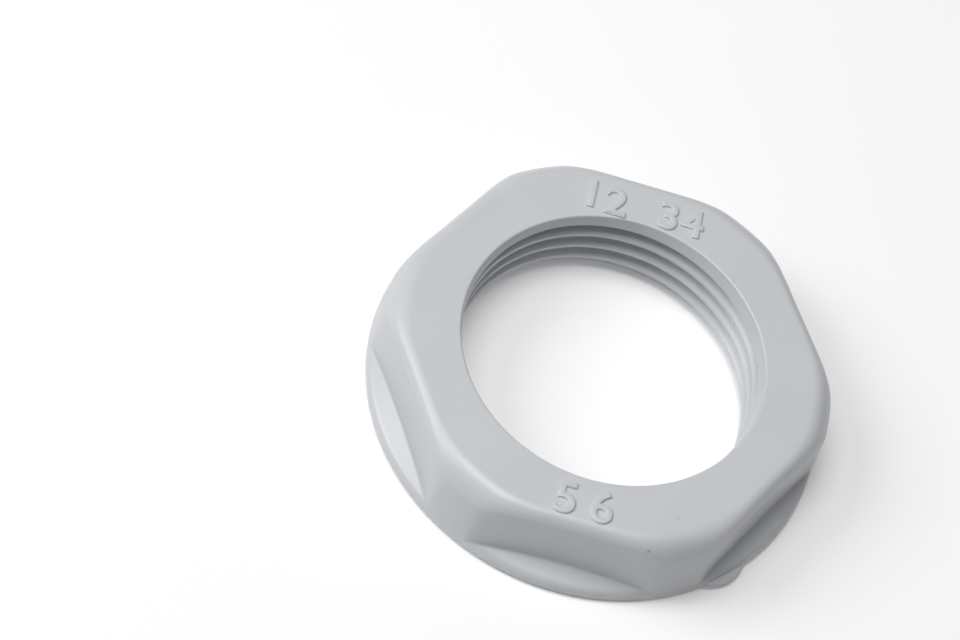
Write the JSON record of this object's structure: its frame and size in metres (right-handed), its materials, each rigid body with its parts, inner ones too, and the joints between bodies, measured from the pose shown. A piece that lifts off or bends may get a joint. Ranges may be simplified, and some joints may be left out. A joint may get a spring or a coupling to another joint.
{
  "type": "cable gland locknut",
  "caption": "Flanged hexagon locknut with turned corners and an internal conduit thread, moulded in light-grey plastic.",
  "frame": {"origin": "on the bore's axis, in the plane of the bearing face that meets the enclosure wall", "axes": "+Z along the bore's axis from the bearing face to the hexagon's free face; +X towards a corner of the hexagon, over one of its wide pits; +Y square to a flat"},
  "size_m": [0.033, 0.033, 0.0064],
  "materials": {
    "polyamide": "moulded light-grey polyamide, satin, smooth on the flats and very fine-grained on the faces"
  },
  "bodies": {
    "root": {"locknut": "polyamide"}
  },
  "joints": []
}
